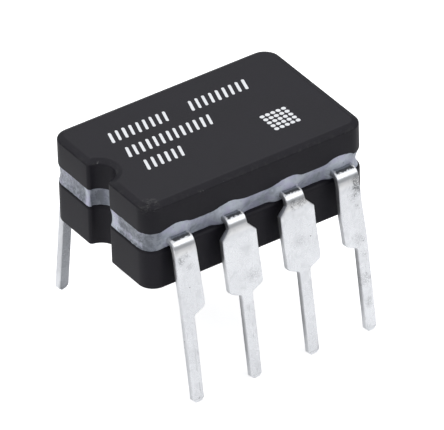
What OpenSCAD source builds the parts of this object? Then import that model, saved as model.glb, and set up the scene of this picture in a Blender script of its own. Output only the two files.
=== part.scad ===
// Eight-lead ceramic dual in-line package, of the kind that is sealed with glass.
// A pressed ceramic base and lid hold a flat lead frame between them in sealing glass.
// The body's length runs along X with its notched end at -X. The lead rows stand at -Y and +Y,
// and Z = 0 is the surface that the tips of the leads stand on.

/* [Ceramic body] */
// Length of the body
body_length = 9.65; // [9.2:0.05:10.2]
// Width of the body
body_width = 6.25; // [5.9:0.05:7.4]
// Radius of the body's upright corners
corner_radius = 0.65; // [0.5:0.05:1.0]
// Thickness of the ceramic base
base_thickness = 1.78; // [1.5:0.02:2.4]
// Thickness of the ceramic lid
lid_thickness = 1.30; // [1.0:0.05:1.9]
// Width of the bevel round the outer faces of base and lid
bevel_width = 0.26; // [0.14:0.02:0.36]
// Height of that bevel
bevel_height = 0.13; // [0.08:0.01:0.2]
// Rounding of the edges that face the seal
seal_edge_radius = 0.15; // [0.06:0.01:0.2]

/* [Notch] */
// Radius of the half-round notch at the end of leads 1 and 8
notch_radius = 0.65; // [0.4:0.05:0.8]
// Rounding of the notch's two lips
notch_lip_radius = 0.15; // [0.05:0.01:0.25]

/* [Cavity] */
// Length of the die cavity in the base
die_cavity_length = 3.0; // [2.6:0.1:3.2]
// Width of the die cavity
die_cavity_width = 2.6; // [2.2:0.1:2.7]
// Depth of the die cavity
die_cavity_depth = 0.55; // [0.46:0.01:0.7]
// Length of the shallow cavity in the lid
lid_cavity_length = 5.0; // [4.6:0.1:5.4]
// Width of the lid's cavity
lid_cavity_width = 3.8; // [3.5:0.1:4.2]
// Depth of the lid's cavity
lid_cavity_depth = 0.45; // [0.3:0.05:0.6]
// Radius of the cavities' upright corners
cavity_corner_radius = 0.3; // [0.1:0.05:0.5]

/* [Seal glass] */
// Gap between base and lid, which the glass fills
seal_gap = 0.65; // [0.56:0.01:0.9]
// How far the foot of the glass is set back from the wall
glass_setback = 0.08; // [0.04:0.01:0.14]
// How far the glass curves in between its foot and the lid
glass_hollow = 0.03; // [0.01:0.01:0.05]
// How far the glass is set back in the notch
notch_glass_setback = 0.08; // [0.02:0.01:0.14]
// Depth of the hollow in the glass between two leads
hollow_depth = 0.24; // [0.16:0.01:0.32]
// Height of that hollow above the base
hollow_height = 0.45; // [0.3:0.01:0.5]
// Length of the hollow along the wall
hollow_length = 1.5; // [1.0:0.05:1.7]
// How far the collar of glass round each lead stands out from the wall
collar_proud = 0.10; // [0.06:0.01:0.12]
// Length of that collar along the wall
collar_length = 1.3; // [1.1:0.05:1.5]
// How far the collar climbs the wall of the lid
collar_climb = 0.33; // [0.2:0.01:0.36]
// Depth that the fingers of the lead frame are sunk in the glass
finger_sink = 0.10; // [0.04:0.01:0.16]

/* [Lead frame] */
// Distance between neighbouring leads
lead_pitch = 2.54; // [2.5:0.01:2.6]
// Thickness of the lead frame
lead_thickness = 0.25; // [0.2:0.01:0.32]
// Height of the lead frame above the base
lead_lift = 0.20; // [0.14:0.01:0.28]
// How far the lead frame sits off the middle of the body, along its length
frame_shift = 0.07; // [-0.1:0.01:0.1]
// Distance from the wall of the body to the centre of the leads' bend
bend_reach = 0.13; // [0.13:0.01:0.3]
// Inner radius of the leads' bend
bend_radius = 0.12; // [0.08:0.01:0.25]
// Angle by which the legs are splayed outward
splay_angle = 7.5; // [0:0.5:12]
// Width of the neck of a middle lead
neck_width = 0.80; // [0.6:0.02:1.1]
// Width of the neck of a lead at the end of a row
end_neck_width = 0.92; // [0.7:0.02:0.96]
// Straight length of the neck below the bend
neck_drop = 0.07; // [0.04:0.01:0.15]
// Width of a lead's shoulder
shoulder_width = 1.48; // [1.2:0.02:1.6]
// Height that a shoulder's lower edge rises from the pin to its side
shoulder_rise = 0.24; // [0.12:0.02:0.4]
// Rounding of the shoulder's lower corners
shoulder_radius = 0.16; // [0.05:0.01:0.25]
// Width of the pin that goes into a hole of the board
pin_width = 0.48; // [0.38:0.01:0.56]
// Length of the pin, from its tip to the seating plane at the foot of the shoulder
pin_length = 3.48; // [2.6:0.02:4.2]
// Fillet between pin and shoulder
pin_fillet = 0.10; // [0.04:0.01:0.16]
// Cut at the corners of the pin's tip
tip_chamfer = 0.12; // [0.04:0.01:0.16]
// Height of the body's underside above the seating plane
standoff = 0.96; // [0.6:0.02:1.5]

/* [Fingers] */
// Width of a finger where the bond wire lands
finger_tip_width = 0.36; // [0.24:0.02:0.44]
// Gap between the die cavity and the tips of the fingers
finger_setback = 0.16; // [0.12:0.01:0.22]
// Distance between the two middle fingertips of a row
middle_tip_spacing = 1.5; // [1.0:0.1:1.8]
// Distance of an end lead's fingertip from the body's long centre line
end_tip_offset = 0.62; // [0.5:0.02:0.8]
// Length of the straight root of a finger inside the wall
finger_root = 0.45; // [0.3:0.05:0.6]

/* [Die and bond wires] */
// Length of the silicon die
die_length = 1.6; // [1.2:0.05:2.0]
// Width of the die
die_width = 1.4; // [1.1:0.05:1.7]
// Thickness of the die
die_thickness = 0.38; // [0.25:0.01:0.42]
// Thickness of the layer that holds the die
attach_thickness = 0.03; // [0.02:0.01:0.06]
// How far that layer shows round the die
attach_margin = 0.06; // [0.02:0.01:0.12]
// Side of a square bond pad
pad_size = 0.11; // [0.08:0.01:0.14]
// Height of a bond pad above the die
pad_height = 0.01; // [0.005:0.005:0.02]
// Distance from the die's edge to the middle of a bond pad
pad_inset = 0.12; // [0.09:0.01:0.18]
// Distance between the two middle bond pads of a row
middle_pad_spacing = 0.7; // [0.4:0.05:0.8]
// Distance of an end lead's bond pad from the die's long centre line
end_pad_offset = 0.3; // [0.2:0.02:0.4]
// Diameter of a bond wire
wire_diameter = 0.032; // [0.025:0.001:0.04]
// Length of the wire's flat foot on a pad or a finger
wire_foot = 0.09; // [0.06:0.01:0.12]
// Height of the wire's loop above the fingers
wire_loop = 0.2; // [0.1:0.01:0.25]

/* [Hidden] */
leads_per_row = 4;
lead_count = 2 * leads_per_row;

$fn = 64;
// Steps of an arc in a computed outline
arc_steps = 5;
// Overrun of a cut past the face that it opens
cut_over = 0.5;
// How far the glass is drawn into base and lid before they are taken out of it
glass_overrun = 0.2;

// Heights, from the tips of the leads upward
base_bottom = pin_length + standoff;
base_top = base_bottom + base_thickness;
lid_bottom = base_top + seal_gap;
frame_bottom = base_top + lead_lift;
frame_top = frame_bottom + lead_thickness;
cavity_floor = base_top - die_cavity_depth;
die_bottom = cavity_floor + attach_thickness;
die_top = die_bottom + die_thickness;

half_length = body_length / 2;
half_width = body_width / 2;

// Centre of the bend, seen along X, and the point where the leg leaves it
bend_outer = bend_radius + lead_thickness;
bend_y = half_width + bend_reach;
bend_z = frame_top - bend_outer;
leg_top = bend_z + bend_radius * sin(splay_angle);

// Fingertips, and the place of the wire's foot on them
middle_tip_y = die_cavity_width / 2 + finger_setback;
end_tip_x = die_cavity_length / 2 + finger_setback;
root_y = half_width - finger_root;
bond_inset = finger_tip_width / 2;

// Arcs and outlines

function unit(v) = v / norm(v);

function turned(v, a) = [v.x * cos(a) - v.y * sin(a), v.x * sin(a) + v.y * cos(a)];

// The corner at b of an outline that comes from a and goes on to c, rounded to radius r
function round_corner(a, b, c, r) =
    r == 0 ? [b] :
    let (
        u = unit(a - b),
        w = unit(c - b),
        half = acos(u * w) / 2,
        centre = b + unit(u + w) * r / sin(half),
        start = b + u * r / tan(half) - centre,
        turn = (180 - 2 * half) * sign(cross(w, u))
    )
    [for (i = [0:arc_steps]) centre + turned(start, turn * i / arc_steps)];

// An outline of corners [x, y, radius]
function rounded(corners) =
    let (n = len(corners), p = [for (c = corners) [c.x, c.y]])
    [for (i = [0:n - 1]) each round_corner(p[(i + n - 1) % n], p[i], p[(i + 1) % n], corners[i][2])];

function reversed(list) = [for (i = [len(list) - 1:-1:0]) list[i]];

function bezier(a, b, c, d, t) =
    a * pow(1 - t, 3) + 3 * b * t * pow(1 - t, 2) + 3 * c * t * t * (1 - t) + d * pow(t, 3);

module rounded_rectangle(length, width, radius) {
    square([length - 2 * radius, width], center = true);
    square([length, width - 2 * radius], center = true);
    for (x = [-1, 1], y = [-1, 1])
        translate([x * (length / 2 - radius), y * (width / 2 - radius)])
            circle(radius);
}

// Ceramic base and lid: the same pressed block, with its bevelled outer face at Z = 0

// Section of the block from its middle out to the wall
module block_section(reach, thickness) {
    polygon([
        [0, 0],
        [reach - bevel_width, 0],
        [reach, bevel_height],
        [reach, thickness - seal_edge_radius],
        [reach - seal_edge_radius, thickness],
        [0, thickness]
    ]);
    translate([reach - seal_edge_radius, thickness - seal_edge_radius])
        circle(seal_edge_radius);
}

// The children are a section's half, which is swept round a rounded rectangle:
// the first one along the long walls, the second along the ends, the third round the corners
module swept_block() {
    for (side = [0, 1]) mirror([0, side, 0])
        rotate([90, 0, 90])
            linear_extrude(body_length - 2 * corner_radius, center = true)
                children(0);
    for (side = [0, 1]) mirror([side, 0, 0])
        rotate([90, 0, 0])
            linear_extrude(body_width - 2 * corner_radius, center = true)
                children(1);
    for (x = [-1, 1], y = [-1, 1])
        translate([x * (half_length - corner_radius), y * (half_width - corner_radius), 0])
            rotate_extrude()
                children(2);
}

// Section of the notch's cutter, which flares at the bevel and at the rounded seal edge
module notch_section(thickness) {
    flare = notch_radius + seal_edge_radius;
    difference() {
        polygon([
            [0, -bevel_height],
            [notch_radius + 2 * bevel_width, -bevel_height],
            [notch_radius, bevel_height],
            [notch_radius, thickness - seal_edge_radius],
            [flare, thickness - seal_edge_radius],
            [flare, thickness + cut_over],
            [0, thickness + cut_over]
        ]);
        translate([flare, thickness - seal_edge_radius])
            circle(seal_edge_radius);
    }
}

// Plan of what is cut away between a notch and the end wall to round the lips
module notch_lips(radius) {
    lip_y = sqrt(pow(radius + notch_lip_radius, 2) - pow(notch_lip_radius, 2));
    difference() {
        polygon([
            [0, 0],
            [notch_lip_radius, lip_y],
            [-cut_over, lip_y],
            [-cut_over, -lip_y],
            [notch_lip_radius, -lip_y]
        ]);
        for (side = [-1, 1])
            translate([notch_lip_radius, side * lip_y])
                circle(notch_lip_radius);
    }
}

module pressed_block(thickness) {
    difference() {
        swept_block() {
            block_section(half_width, thickness);
            block_section(half_length, thickness);
            block_section(corner_radius, thickness);
        }
        translate([-half_length, 0, 0]) {
            rotate_extrude()
                notch_section(thickness);
            translate([0, 0, -cut_over])
                linear_extrude(thickness + 2 * cut_over)
                    notch_lips(notch_radius);
        }
    }
}

module base_body() {
    translate([0, 0, base_bottom])
        pressed_block(base_thickness);
}

module lid_body() {
    translate([0, 0, lid_bottom + lid_thickness])
        mirror([0, 0, 1])
            pressed_block(lid_thickness);
}

module die_cavity(bottom, top) {
    translate([0, 0, bottom])
        linear_extrude(top - bottom)
            rounded_rectangle(die_cavity_length, die_cavity_width, cavity_corner_radius);
}

module lid_cavity(bottom, top) {
    translate([0, 0, bottom])
        linear_extrude(top - bottom)
            rounded_rectangle(lid_cavity_length, lid_cavity_width, cavity_corner_radius);
}

module ceramic_base() {
    color("#2b2c2e")
        difference() {
            base_body();
            die_cavity(cavity_floor, base_top + cut_over);
        }
}

module ceramic_lid() {
    color("#353438")
        difference() {
            lid_body();
            lid_cavity(lid_bottom - cut_over, lid_bottom + lid_cavity_depth);
        }
}

// Leads: columns 0 to 3 run from the notched end, and lead 1 stands at the notch in the near row

last_column = leads_per_row - 1;

function column(n) = n <= leads_per_row ? n - 1 : lead_count - n;

function near_row(n) = n <= leads_per_row;

function column_x(k) = lead_pitch * (k - last_column / 2);

function is_end(k) = k == 0 || k == last_column;

function is_outer(k, side) = (k == 0 && side < 0) || (k == last_column && side > 0);

// Distance from the pin's middle to the edge of the neck, on one side
function neck_edge(k, side) =
    is_outer(k, side) ? pin_width / 2 :
    is_end(k) ? end_neck_width - pin_width / 2 :
    neck_width / 2;

// Height on the leg as a distance along it, measured up from the end of the bend
function along_leg(z) = (z - leg_top) / cos(splay_angle);

// Corners [distance from the pin's middle, distance along the leg, radius] of one side of the
// leg, from the tip up: an outer side is straight, the others step out to the shoulder
function leg_side(k, side) =
    let (
        pin = pin_width / 2,
        shoulder = shoulder_width / 2,
        neck = neck_edge(k, side),
        taper = is_end(k) ? (leg_top - pin_length) / 2 : shoulder - neck
    )
    concat(
        [[pin - tip_chamfer, along_leg(0), 0], [pin, along_leg(tip_chamfer), 0]],
        is_outer(k, side) ? [] : [
            [pin, along_leg(pin_length), pin_fillet],
            [shoulder, along_leg(pin_length + shoulder_rise), shoulder_radius],
            [shoulder, along_leg(leg_top - neck_drop - taper), pin_fillet],
            [neck, along_leg(leg_top - neck_drop), 0]
        ],
        [[neck, 0, 0]]
    );

// Outline of the leg, seen from inside the body, where X runs the other way
module leg_outline(k) {
    left = [for (p = reversed(leg_side(k, -1))) [p.x, p.y, p.z]];
    right = [for (p = leg_side(k, 1)) [-p.x, p.y, p.z]];
    polygon(rounded(concat(right, left)));
}

// Plan of the arm and its finger: straight through the wall, then on to the fingertip
module finger_outline(k) {
    x = column_x(k);
    low = x - neck_edge(k, -1);
    high = x + neck_edge(k, 1);
    half_tip = finger_tip_width / 2;
    tip_x = sign(x) * middle_tip_spacing / 2;
    if (is_end(k)) {
        inward = -sign(x);
        inner = inward > 0 ? high : low;
        outer = inward > 0 ? low : high;
        tip = -inward * end_tip_x;
        polygon([
            [inner, bend_y],
            [outer, bend_y],
            [outer, root_y],
            [inner, end_tip_offset - half_tip],
            [tip, end_tip_offset - half_tip],
            [tip, end_tip_offset + half_tip],
            [inner + inward * finger_root, end_tip_offset + half_tip],
            [inner, root_y - finger_root]
        ]);
    } else {
        polygon([
            [low, bend_y],
            [high, bend_y],
            [high, root_y],
            [tip_x + half_tip, middle_tip_y],
            [tip_x - half_tip, middle_tip_y],
            [low, root_y]
        ]);
    }
}

// The lead of one column in the row at +Y
module lead_shape(k) {
    x = column_x(k);
    low = x - neck_edge(k, -1);
    high = x + neck_edge(k, 1);
    translate([0, 0, frame_bottom])
        linear_extrude(lead_thickness)
            finger_outline(k);
    translate([0, bend_y, bend_z])
        rotate([0, -90, 0])
            rotate_extrude(angle = 90 - splay_angle)
                translate([bend_radius, -high])
                    square([lead_thickness, high - low]);
    translate([x, bend_y, bend_z])
        rotate([90 - splay_angle, 0, 180])
            translate([0, 0, bend_radius])
                linear_extrude(lead_thickness)
                    leg_outline(k);
}

module lead_body(n) {
    translate([frame_shift, 0, 0])
        mirror([0, near_row(n) ? 1 : 0, 0])
            lead_shape(column(n));
}

module lead(n) {
    color("#d9dbde")
        lead_body(n);
}

// Seal glass: a ring between base and lid, with a collar round each lead

// Half of the ring's section: it leans out from its foot on the base to the edge of the lid
module glass_section(reach) {
    foot = [reach - glass_setback, base_top];
    rim = [reach, lid_bottom + seal_edge_radius];
    waist = (foot + rim) / 2 + [-2 * glass_hollow, 0];
    curve = [for (i = [0:arc_steps]) let (t = i / arc_steps)
        foot * pow(1 - t, 2) + 2 * waist * t * (1 - t) + rim * t * t];
    polygon(concat(
        [[0, base_top - glass_overrun], [foot.x, base_top - glass_overrun]],
        curve,
        [[reach - seal_edge_radius, lid_bottom + glass_overrun], [0, lid_bottom + glass_overrun]]
    ));
}

// A lens along X, whose girth swells from radius less bulge at the ends of its length
// to radius in the middle, and shrinks on beyond the ends to radius less reach
module lens(radius, bulge, length, reach) {
    curve = (pow(length / 2, 2) + bulge * bulge) / (2 * bulge);
    half = sqrt(curve * curve - pow(curve - reach, 2));
    rotate([0, 90, 0])
        rotate_extrude()
            intersection() {
                translate([radius - curve, 0])
                    circle(curve);
                translate([0, -half])
                    square([radius, 2 * half]);
            }
}

// Collar of glass: a lens whose axis lies inside the wall, and which stands out in front of it
module collar() {
    top = lid_bottom + collar_climb;
    bottom = frame_bottom - lead_lift / 2;
    rise = (top - bottom) / 2;
    radius = (rise * rise + collar_proud * collar_proud) / (2 * collar_proud);
    translate([0, half_width - radius + collar_proud, (top + bottom) / 2])
        lens(radius, collar_proud, collar_length, collar_proud + glass_setback);
}

// Hollow between two leads: a lens whose axis lies outside the wall, at the foot of the glass
module hollow() {
    radius = (hollow_height * hollow_height + hollow_depth * hollow_depth) / (2 * hollow_depth);
    translate([0, half_width - hollow_depth + radius, base_top])
        lens(radius, hollow_depth, hollow_length, hollow_depth);
}

// The children, drawn for the row at +Y in the frame's place, and again for the row at -Y
module both_rows() {
    for (side = [0, 1])
        translate([frame_shift, 0, 0])
            mirror([0, side, 0])
                children();
}

// Middle of a lead's neck
function neck_x(k) = column_x(k) + (neck_edge(k, 1) - neck_edge(k, -1)) / 2;

module seal_glass() {
    color("#9a9fa9")
        difference() {
            union() {
                swept_block() {
                    glass_section(half_width);
                    glass_section(half_length);
                    glass_section(corner_radius);
                }
                both_rows()
                    for (k = [0:last_column])
                        translate([neck_x(k), 0, 0])
                            collar();
            }
            both_rows() {
                for (k = [1:last_column])
                    translate([(neck_x(k - 1) + neck_x(k)) / 2, 0, 0])
                        hollow();
                for (k = [0:last_column])
                    lead_shape(k);
            }
            base_body();
            lid_body();
            die_cavity(base_top - cut_over, lid_bottom + cut_over);
            lid_cavity(frame_bottom + finger_sink, lid_bottom + cut_over);
            translate([-half_length, 0, base_top - cut_over])
                linear_extrude(seal_gap + 2 * cut_over) {
                    circle(notch_radius + notch_glass_setback);
                    notch_lips(notch_radius + notch_glass_setback);
                }
        }
}

// Die, its attach layer and the bond wires

// Bond pad of lead n on the die
function pad_place(n) =
    let (
        k = column(n),
        row = near_row(n) ? -1 : 1,
        x = sign(column_x(k))
    )
    is_end(k) ? [x * (die_length / 2 - pad_inset), row * end_pad_offset] :
    [x * middle_pad_spacing / 2, row * (die_width / 2 - pad_inset)];

// Foot of the bond wire on the finger of lead n
function bond_place(n) =
    let (
        k = column(n),
        row = near_row(n) ? -1 : 1,
        x = sign(column_x(k))
    )
    [frame_shift, 0] + (is_end(k) ? [x * (end_tip_x + bond_inset), row * end_tip_offset] :
    [x * middle_tip_spacing / 2, row * (middle_tip_y + bond_inset)]);

module silicon_die() {
    color("#5d5f6b") {
        translate([0, 0, (die_bottom + die_top) / 2])
            cube([die_length, die_width, die_thickness], center = true);
        for (n = [1:lead_count])
            translate([pad_place(n).x, pad_place(n).y, die_top])
                translate([0, 0, pad_height / 2])
                    cube([pad_size, pad_size, pad_height], center = true);
    }
}

module die_attach() {
    color("#b9a268")
        translate([0, 0, cavity_floor])
            linear_extrude(attach_thickness)
                rounded_rectangle(
                    die_length + 2 * attach_margin, die_width + 2 * attach_margin, attach_margin);
}

// The wire has six sides and lies on a flat one
wire_sides = 6;
wire_steps = 12;
wire_lift = wire_diameter / 2 * cos(30);

// Points [distance, height] of the wire's centre line over its span
function wire_path(span) =
    let (
        low = die_top + pad_height + wire_lift,
        high = frame_top + wire_lift,
        first = [wire_foot, low],
        last = [span - wire_foot, high],
        rise = [wire_foot, high + wire_loop],
        fall = [span / 2, high + wire_loop]
    )
    concat(
        [[0, low]],
        [for (i = [0:wire_steps]) bezier(first, rise, fall, last, i / wire_steps)],
        [[span, high]]
    );

// One ring of the wire at p, square to the direction in which the path goes on there
function wire_ring(p, before, after) =
    let (
        way = unit(after - before),
        rise = [-way.y, way.x]
    )
    [for (s = [0:wire_sides - 1]) let (a = 360 * s / wire_sides)
        [p.x + rise.x * sin(a) * wire_diameter / 2,
         cos(a) * wire_diameter / 2,
         p.y + rise.y * sin(a) * wire_diameter / 2]];

module wire_shape(span) {
    path = wire_path(span);
    last = len(path) - 1;
    rings = [for (i = [0:last])
        wire_ring(path[i], path[max(i - 1, 0)], path[min(i + 1, last)])];
    polyhedron(
        points = [for (ring = rings) each ring],
        faces = concat(
            [[for (s = [0:wire_sides - 1]) s]],
            [for (i = [0:last - 1], s = [0:wire_sides - 1])
                let (t = (s + 1) % wire_sides, here = i * wire_sides, next = here + wire_sides)
                [here + s, next + s, next + t, here + t]],
            [[for (s = [wire_sides - 1:-1:0]) last * wire_sides + s]]
        )
    );
}

module bond_wire(n) {
    start = pad_place(n) - unit(bond_place(n) - pad_place(n)) * wire_foot / 2;
    end = bond_place(n) + unit(bond_place(n) - pad_place(n)) * wire_foot / 2;
    run = end - start;
    color("#c9cbcf")
        translate([start.x, start.y, 0])
            rotate(atan2(run.y, run.x))
                wire_shape(norm(run));
}

ceramic_base();
ceramic_lid();
seal_glass();
for (n = [1:lead_count])
    lead(n);
silicon_die();
die_attach();
for (n = [1:lead_count])
    bond_wire(n);
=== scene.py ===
"""Looks of an eight-lead ceramic dual in-line package: black pressed ceramic, grey sealing glass,
tinned leads and plain white ink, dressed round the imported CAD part."""
import math

import bmesh
import bpy
import numpy as np
from mathutils import Matrix, Vector, noise
from mathutils.geometry import tessellate_polygon


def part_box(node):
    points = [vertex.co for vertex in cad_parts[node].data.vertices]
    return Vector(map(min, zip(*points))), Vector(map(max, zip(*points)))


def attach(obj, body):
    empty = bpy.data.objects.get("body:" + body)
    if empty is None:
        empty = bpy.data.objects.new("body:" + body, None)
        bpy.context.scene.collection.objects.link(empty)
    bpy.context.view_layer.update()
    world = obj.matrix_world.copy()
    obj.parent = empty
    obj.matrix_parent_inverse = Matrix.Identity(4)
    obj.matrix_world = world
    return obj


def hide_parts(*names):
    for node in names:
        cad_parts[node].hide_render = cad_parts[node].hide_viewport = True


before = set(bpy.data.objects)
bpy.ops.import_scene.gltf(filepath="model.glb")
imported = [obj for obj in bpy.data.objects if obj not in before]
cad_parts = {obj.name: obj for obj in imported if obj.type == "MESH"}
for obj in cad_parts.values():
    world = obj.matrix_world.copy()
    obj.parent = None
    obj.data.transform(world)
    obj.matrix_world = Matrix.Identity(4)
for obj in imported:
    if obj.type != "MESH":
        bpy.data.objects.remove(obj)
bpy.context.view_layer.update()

MM = 0.001


# Sizes in millimetres, taken from the CAD part or repeated from it

def node_box(node):
    return [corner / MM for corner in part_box(node)]


base_low, base_high = node_box("ceramic_base")
lid_low, lid_high = node_box("ceramic_lid")
HALF_LENGTH, HALF_WIDTH = lid_high.x, lid_high.y
BASE_BOTTOM, BASE_TOP = base_low.z, base_high.z
LID_BOTTOM, LID_TOP = lid_low.z, lid_high.z
FRAME_TOP = node_box("lead_2")[1].z
PAD_TOP = node_box("silicon_die")[1].z

CORNER_RADIUS = 0.65
BEVEL_WIDTH = 0.26
BEVEL_HEIGHT = 0.13
FACE_ROUND = 0.16
WALL_ROUND = 0.07
SEAL_EDGE = 0.15
NOTCH_RADIUS = 0.65
LIP_RADIUS = 0.15
DIE_CAVITY = (3.0, 2.6)
DIE_CAVITY_DEPTH = 0.55
LID_CAVITY = (5.0, 3.8)
LID_CAVITY_DEPTH = 0.45
CAVITY_CORNER = 0.3

LEAD_PITCH = 2.54
STRIP = 0.25
FRAME_BOTTOM = FRAME_TOP - STRIP
FRAME_SHIFT = 0.07
FINGER_SINK = 0.10
BEND_RADIUS = 0.12
BEND_Y = HALF_WIDTH + 0.13
BEND_Z = FRAME_BOTTOM - BEND_RADIUS
SPLAY = math.radians(7.5)
NECK_WIDTH = 0.80
END_NECK_WIDTH = 0.92
NECK_DROP = 0.07
SHOULDER_WIDTH = 1.48
SHOULDER_RISE = 0.24
SHOULDER_RADIUS = 0.22
NECK_FILLET = 0.05
PIN_WIDTH = 0.48
PIN_LENGTH = 3.48
PIN_FILLET = 0.10
TIP_CHAMFER = 0.12
TIP_ROUND = 0.02
FINGER_TIP = 0.36
FINGER_SETBACK = 0.16
MIDDLE_TIP_SPACING = 1.5
END_TIP_OFFSET = 0.62
FINGER_ROOT = 0.45
LEG_TOP = BEND_Z + BEND_RADIUS * math.sin(SPLAY)


# Small geometry helpers, all in millimetres

MERGE_DISTANCE = 0.0004
SAME_PLACE = 1e-6
CAVITY_STEPS = 6


def rounded_path(corners, steps=8):
    """An open path of corners (x, y, radius), each rounded to its radius."""
    points = []
    for i, (x, y, r) in enumerate(corners):
        here = np.array([x, y], float)
        if r == 0 or i in (0, len(corners) - 1):
            points.append(here)
            continue
        back = np.array(corners[i - 1][:2], float) - here
        on = np.array(corners[i + 1][:2], float) - here
        back /= np.linalg.norm(back)
        on /= np.linalg.norm(on)
        half = math.acos(max(-1, min(1, float(back @ on)))) / 2
        middle = here + (back + on) / np.linalg.norm(back + on) * r / math.sin(half)
        start = here + back * r / math.tan(half) - middle
        end = here + on * r / math.tan(half) - middle
        sweep = math.pi - 2 * half
        for k in range(steps + 1):
            t = k / steps
            a = math.sin((1 - t) * sweep) / math.sin(sweep)
            b = math.sin(t * sweep) / math.sin(sweep)
            points.append(middle + a * start + b * end)
    return np.array(points)


def smooth(t):
    """A smooth step from 0 to 1."""
    t = np.clip(t, 0, 1)
    return t * t * (3 - 2 * t)


def ripple(x, y, z, size, seed):
    """Noise from -1 to 1 at a point, with patches about size across."""
    return noise.noise(Vector((x / size + seed, y / size - seed, z / size)))


def mesh_object(name, bm, smooth_angle=38):
    """Makes a piece of a mesh in millimetres. Edges sharper than the angle, in degrees, stay crisp."""
    bmesh.ops.remove_doubles(bm, verts=bm.verts, dist=MERGE_DISTANCE)
    bmesh.ops.recalc_face_normals(bm, faces=bm.faces)
    bmesh.ops.scale(bm, vec=(MM, MM, MM), verts=bm.verts)
    mesh = bpy.data.meshes.new(name)
    bm.to_mesh(mesh)
    bm.free()
    mesh.shade_smooth()
    mesh.set_sharp_from_angle(angle=math.radians(smooth_angle))
    piece = bpy.data.objects.new(name, mesh)
    bpy.context.scene.collection.objects.link(piece)
    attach(piece, "root")
    return piece


def add_ring(bm, points):
    return [bm.verts.new(p) for p in points]


def skin(bm, a, b):
    """Faces between two rings of vertices."""
    for i in range(len(a)):
        j = (i + 1) % len(a)
        bm.faces.new((a[i], a[j], b[j], b[i]))


def flat_ring(bm, outer, inner):
    """A flat face between an outline and a hole in it, both rings of vertices."""
    both = list(outer) + list(inner)
    for tri in tessellate_polygon([[v.co.to_3d() for v in ring] for ring in (outer, inner)]):
        if len({both[i] for i in tri}) == 3:
            bm.faces.new([both[i] for i in tri])


def cavity_outline(size, z):
    """Rounded rectangle of a cavity, against the clock."""
    points = []
    for cx, cy, start in ((1, 1, 0), (-1, 1, 90), (-1, -1, 180), (1, -1, 270)):
        for k in range(CAVITY_STEPS + 1):
            a = math.radians(start + 90 * k / CAVITY_STEPS)
            points.append((cx * (size[0] / 2 - CAVITY_CORNER) + CAVITY_CORNER * math.cos(a),
                           cy * (size[1] / 2 - CAVITY_CORNER) + CAVITY_CORNER * math.sin(a), z))
    return points


# Plan of the body's wall, with its corners, notch and lips

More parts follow.
